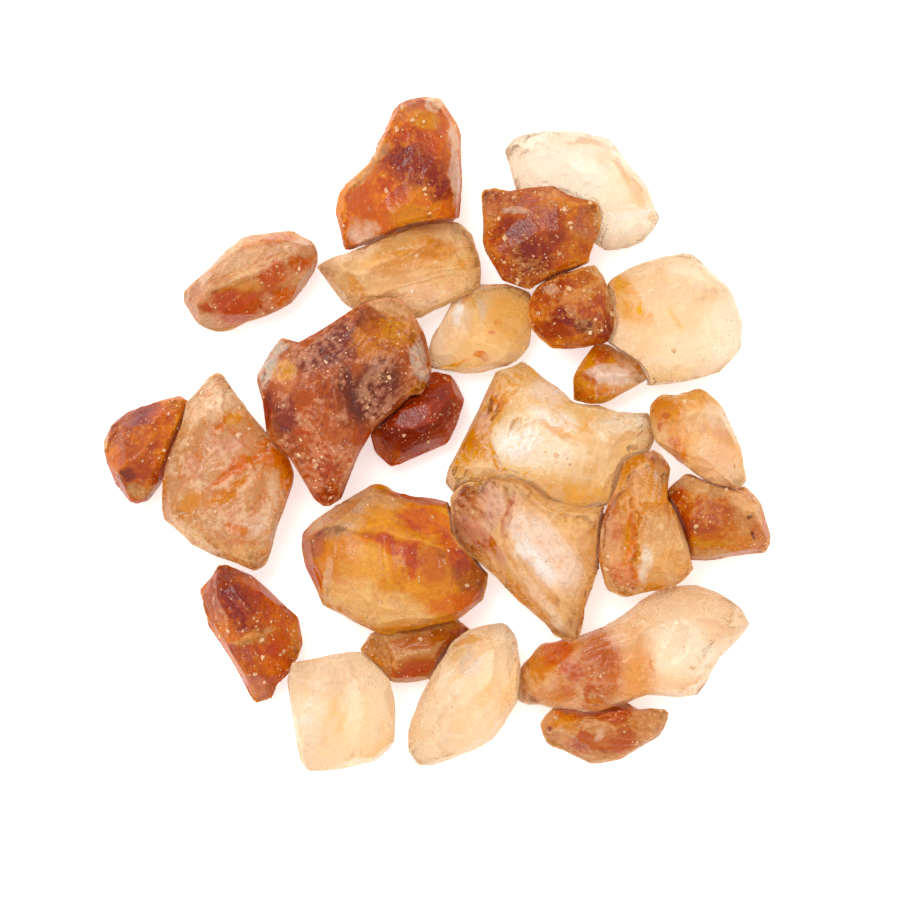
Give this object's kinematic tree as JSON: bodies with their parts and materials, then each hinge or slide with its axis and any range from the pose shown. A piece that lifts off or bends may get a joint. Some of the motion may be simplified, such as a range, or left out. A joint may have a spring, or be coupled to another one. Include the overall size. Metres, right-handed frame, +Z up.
{
  "type": "rock sugar",
  "caption": "Loose irregular crystals of brown, amber and clear rock sugar lying in one layer, for sweetening hot drinks and cooking.",
  "frame": {"origin": "middle of the pile's footprint, on the surface it lies on", "axes": "+Z up, +X to the right and +Y to the top of the pile as seen from above"},
  "size_m": [0.0666, 0.0672, 0.0103],
  "materials": {
    "brown_sugar": "frosted, dusted, dark red-brown and barely translucent",
    "rust_sugar": "frosted, dusted, rust brown with orange depths",
    "amber_sugar": "frosted translucent amber",
    "honey_sugar": "frosted translucent honey",
    "clear_sugar": "frosted, almost clear, cream tinted"
  },
  "bodies": {
    "root": {"amber_boulder": "amber_sugar", "amber_horn": "rust_sugar", "amber_kite": "amber_sugar", "amber_pillar": "amber_sugar", "brown_brick": "brown_sugar", "brown_chip": "rust_sugar", "brown_crown": "rust_sugar", "brown_saddle": "brown_sugar", "brown_spindle": "rust_sugar", "clear_shield": "clear_sugar", "clear_sprawl": "clear_sugar", "cream_cube": "clear_sugar", "cream_disc": "clear_sugar", "cream_oval": "clear_sugar", "dark_bean": "rust_sugar", "dark_knob": "brown_sugar", "honey_slab": "honey_sugar", "honey_wedge": "honey_sugar", "rust_lump": "rust_sugar", "rust_spear": "rust_sugar", "small_tent": "amber_sugar", "straw_pane": "clear_sugar", "streaked_tooth": "honey_sugar", "tan_block": "amber_sugar", "two_tone_slab": "honey_sugar"}
  },
  "joints": []
}
